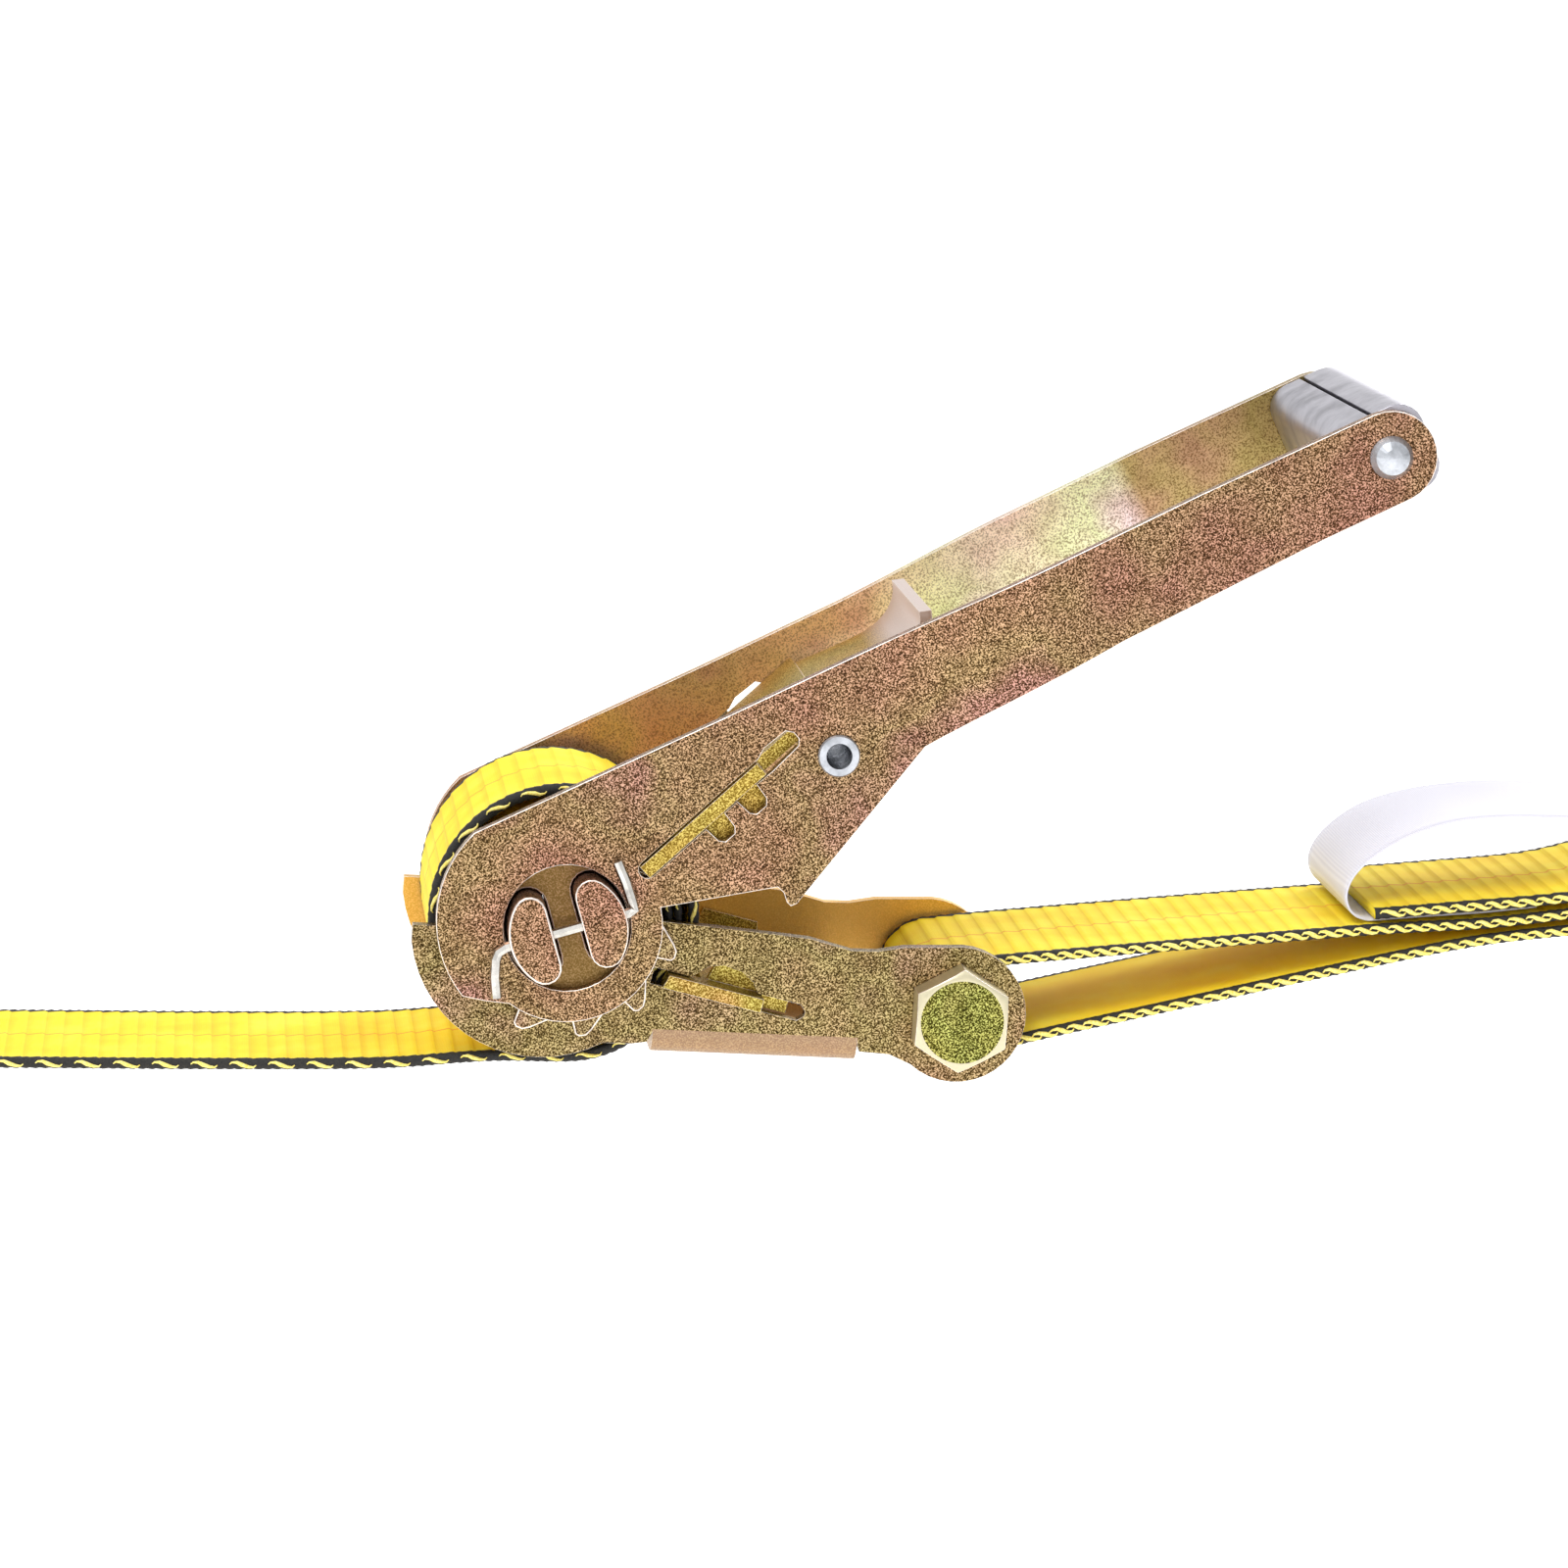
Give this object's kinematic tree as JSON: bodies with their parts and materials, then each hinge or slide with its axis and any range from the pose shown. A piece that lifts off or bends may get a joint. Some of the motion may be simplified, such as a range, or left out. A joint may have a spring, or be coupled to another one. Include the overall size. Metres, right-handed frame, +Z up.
{
  "type": "ratchet tie down",
  "caption": "Ratchet tie down: pressed steel frame, long handle, toothed spindle wound with webbing, sliding pawls, bolted strap and double wire hooks.",
  "frame": {"origin": "centre of the bend of the main strap's hook, where the anchor's bar sits", "axes": "+X along the straps from the main hook to the fixed hook, +Y across the webbing, +Z up, the side the handle stands on"},
  "size_m": [0.618, 0.0908, 0.202],
  "materials": {
    "frame_zinc_yellow": "yellow zinc plate over pressed steel, fine grain, satin",
    "bolt_zinc_yellow": "yellow zinc plate over pressed steel, fine grain, satin",
    "hook_zinc_yellow": "yellow zinc plate over pressed steel, fine grain, satin",
    "bar_zinc_yellow": "yellow zinc plate over pressed steel, fine grain, satin",
    "wheel_zinc_yellow": "yellow zinc plate over pressed steel, fine grain, satin",
    "handle_zinc_yellow": "yellow zinc plate over pressed steel, fine grain, satin",
    "pawl_zinc_yellow": "yellow zinc plate over pressed steel, fine grain, satin",
    "zinc_bright": "bright zinc plate",
    "spring_steel": "drawn wire",
    "grip_grey": "grey zinc plated sheet, satin",
    "webbing_yellow": "woven polyester, ribbed, black edges with yellow stitches",
    "tag_white": "smooth blank woven label"
  },
  "bodies": {
    "base": {"base_frame": "frame_zinc_yellow", "anchor_bolt": "bolt_zinc_yellow", "bolt_nut": "zinc_bright", "bolt_washer": "zinc_bright", "bolt_sleeve": "zinc_bright", "lock_pawl_spring": "spring_steel", "main_strap": "webbing_yellow", "fixed_strap": "webbing_yellow", "strap_tag": "tag_white", "main_strap_hook": "hook_zinc_yellow", "fixed_strap_hook": "hook_zinc_yellow"},
    "spindle": {"mandrel_bar_left": "bar_zinc_yellow", "mandrel_bar_right": "bar_zinc_yellow", "ratchet_wheel_near": "wheel_zinc_yellow", "ratchet_wheel_far": "wheel_zinc_yellow", "retaining_pin_near": "zinc_bright", "retaining_pin_far": "zinc_bright", "webbing_roll": "webbing_yellow"},
    "handle": {"handle_plate_near": "handle_zinc_yellow", "handle_plate_far": "handle_zinc_yellow", "grip_sleeve": "grip_grey", "grip_rivet": "zinc_bright", "cross_tube": "zinc_bright", "drive_pawl_spring": "spring_steel"},
    "drive_pawl": {"drive_pawl": "pawl_zinc_yellow"},
    "lock_pawl": {"lock_pawl": "pawl_zinc_yellow"}
  },
  "joints": [
    {"name": "handle_swing", "type": "hinge", "parent": "base", "child": "handle", "pos_m": [0.255, 0, 0.062], "axis": [0, -1, 0], "range_deg": [-20, 133]},
    {"name": "spindle_spin", "type": "hinge", "parent": "base", "child": "spindle", "pos_m": [0.255, 0, 0.062], "axis": [0, -1, 0], "range_deg": [-20, 133]},
    {"name": "drive_pawl_slide", "type": "slide", "parent": "handle", "child": "drive_pawl", "axis": [0.7071, 0, 0.7071], "range_m": [0, 0.008], "stiffness_N_per_m": 800, "springref_m": -0.006, "deforming": ["drive_pawl_spring"]},
    {"name": "lock_pawl_slide", "type": "slide", "parent": "base", "child": "lock_pawl", "axis": [0.9781, 0, -0.2079], "range_m": [0, 0.005], "stiffness_N_per_m": 800, "springref_m": -0.004, "deforming": ["lock_pawl_spring"]}
  ],
  "couplings": [
    {"joint": "spindle_spin", "follows": "handle_swing", "ratio": 1}
  ]
}
